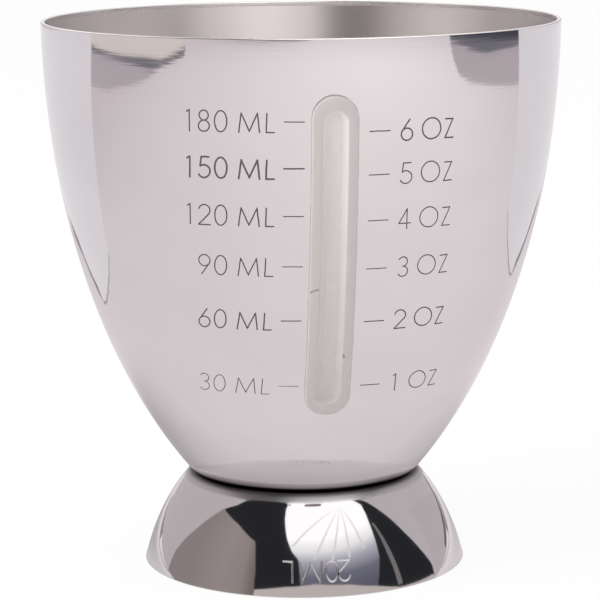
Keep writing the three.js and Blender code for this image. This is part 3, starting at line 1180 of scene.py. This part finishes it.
def make_uprights():
    """Umbrella, black flags and walls that the small cup mirrors."""
    umbrella = [(-23.2, 58, 70), (-21.6, 52, 72), (-15.9, 40, 74), (-10.4, 33, 75), (-4.4, 28.8, 75)]
    umbrella += [(-2, 1, 75), (48, 1, 73), (60, 22, 66), (64, 38.7, 60), (69.6, 49.6, 50)]
    upright_card("umbrella", umbrella, UMBRELLA_DISTANCE, umbrella_glow())
    for i, (bearing, elevation) in enumerate(((-10, 36), (8, 29), (22, 27), (36, 27), (50, 29))):
        rib = [(46, 56), (bearing - 1, elevation), (bearing + 1, elevation)]
        flat_card(f"rib_{i}", rib, [(0, 1, 2)], 0.99 * UMBRELLA_DISTANCE, RIB_GREY)
    left = [(-86.7, 38.6, 39), (-79, 38.5, 46), (-64, 38.3, 72), (-42.6, 34.3, 78), (-38.8, 25.7, 78)]
    left += [(-36.6, 19, 78), (-35, 1, 78), (-10, 1, 78), (2, 1, 60)]
    upright_card("left_flag", left, FLAG_DISTANCE, BLACK)
    right = [(44, 1, 24), (56, 1, 56), (70, 1, 57), (77, 1, 49.5), (83, 1, 37), (90.4, 1, 22.9)]
    right += [(97.7, 1, 12.9), (104.9, 1, 4.2)]
    upright_card("right_flag", right, FLAG_DISTANCE, BLACK)
    wall = [(-114.4, -0.7, -0.6), (-112, 0, 6.6), (-99, 0, 22.3), (-87.7, 0, 38.7)]
    wall += [(-78.8, 0, 45.8), (-34, 0, 45)]
    upright_card("brown_wall", wall, WALL_DISTANCE, brown_glow())
    dusk = [(108, 0, 26), (124, 0, 19), (148, 0, 5)]
    upright_card("right_wall", dusk, WALL_DISTANCE, (0.53, 0.487, 0.507))
    horizon = [(128, 0.3, 1.6), (140, 0.4, 2.2), (172, 0.2, 1.4)]
    upright_card("right_horizon", horizon, 0.98 * WALL_DISTANCE, (0.16, 0.145, 0.155))
    board = [(bearing, 0, top) for bearing, top in BOARD_TOP]
    upright_card("front_board", board, 0.95 * UMBRELLA_DISTANCE, (0.60, 0.54, 0.53))
    streak = [(66.5, 38), (68, 38), (71, 22), (73.5, 7), (69.5, 7), (67.5, 22)]
    halves = [(0, 1, 2, 5), (5, 2, 3, 4)]
    flat_card("streak", streak, halves, 0.97 * UMBRELLA_DISTANCE, (0.22, 0.205, 0.205))
    upright_card("backdrop", [(166, 3, 40), (180, 3, 45), (194, 3, 40)], WALL_DISTANCE, (0.95, 0.94, 0.96))


RING_DISTANCE = 0.065
RING_LOW = 16 * MM  # heights above the mouth
RING_HIGH = 125 * MM
RING_COLOUR = np.array((1.0, 0.955, 0.95))
RING_STRENGTHS = (  # from one bearing to the next
    (-196, -168, 1.0),
    (-168, -128, 0.85),
    (-128, -84, 1.55),
    (-84, -52, 0.95),
    (-52, -15, 0.0),
    (-15, 10, 2.0),
    (10, 38, 2.45),
    (38, 72, 1.75),
    (72, 100, 0.85),
    (100, 140, 1.05),
    (140, 164, 0.8),
)


def make_mouth_lights():
    """A ring of soft lights and a flag round the mouth, which the inside of the large cup mirrors."""
    low, high = (math.atan2(HEIGHT + rise, RING_DISTANCE) / DEGREES for rise in (RING_LOW, RING_HIGH))
    for i, (left, right, strength) in enumerate(RING_STRENGTHS):
        columns = [(left, low, high), (right, low, high)]
        upright_card(f"mouth_light_{i}", columns, RING_DISTANCE, tuple(strength * RING_COLOUR))


def make_floor_sheets():
    """Sheets on the floor at both sides of the jigger, which the large cup mirrors."""
    left_edge = [(-105, 138), (-110, 125), (-117, 119), (-124, 118), (-129, 123), (-142, 188), (-152, 250)]
    left_far = [(-166, 420), (-176, 1300), (-101, 1300)]
    right_edge = [(109, 182), (114, 158), (121, 147), (128, 144), (133, 149), (146, 225), (153, 290)]
    right_far = [(165, 450), (176, 1300), (107, 1300)]
    for name, edge, far in (("left_sheet", left_edge, left_far), ("right_sheet", right_edge, right_far)):
        floor_card(name, edge + far, SHEET_LAYER, SHEET_WHITE)
        kerb(f"{name}_near_edge", edge[:5], SHEET_LAYER * FLOOR_LAYER, EDGE_SHADE)
        kerb(f"{name}_lifted_edge", edge[4:], LIFTED_EDGE, EDGE_SHADE)
    left_near = [(-102, 477), (-92, 439), (-82, 440), (-71, 456), (-65, 498), (-60, 553)]
    left_middle = [(-101, 731), (-88, 647), (-76, 586), (-66, 529), (-60, 553), (-55, 592), (-50, 647)]
    left_last = [(-101, 801), (-89, 702), (-79, 661), (-68, 635), (-61, 607), (-56, 654), (-49, 770)]
    floor_card("left_grey", left_near + left_middle[3::-1], 1, CARD_GREY)
    floor_card("left_dark", left_middle + left_last[::-1], 2, CARD_DARK)
    floor_card("left_beige", left_last + [(-52, 1300), (-101, 1300)], 1, CARD_BEIGE)
    right_near = [(65, 910), (67, 600), (70, 484), (75, 453), (82, 447), (98, 455), (110, 492)]
    right_back = [(66, 820), (70, 783), (76, 704), (85, 666), (94, 714), (109, 794)]
    right_black = [(66, 900), (84, 850), (96, 840), (109, 850), (109, 1300), (66, 1300)]
    front_line = [(-34, 1000), (-22, 890), (-4, 875), (6, 960), (-4, 1150), (-34, 1150)]
    floor_card("right_grey", right_near + right_back[::-1], 1, CARD_GREY)
    floor_card("right_dark", right_back + [(109, 1300), (64, 1300)], 2, CARD_DARK)
    floor_card("right_black", right_black, 3, CARD_BLACK)
    floor_card("front_line", front_line, 1, CARD_BLACK)


make_camera()
make_large_cup()
make_small_cup()
make_window()
finish_welds()
make_floor()
make_world()
make_key()
make_uprights()
make_mouth_lights()
make_floor_sheets()
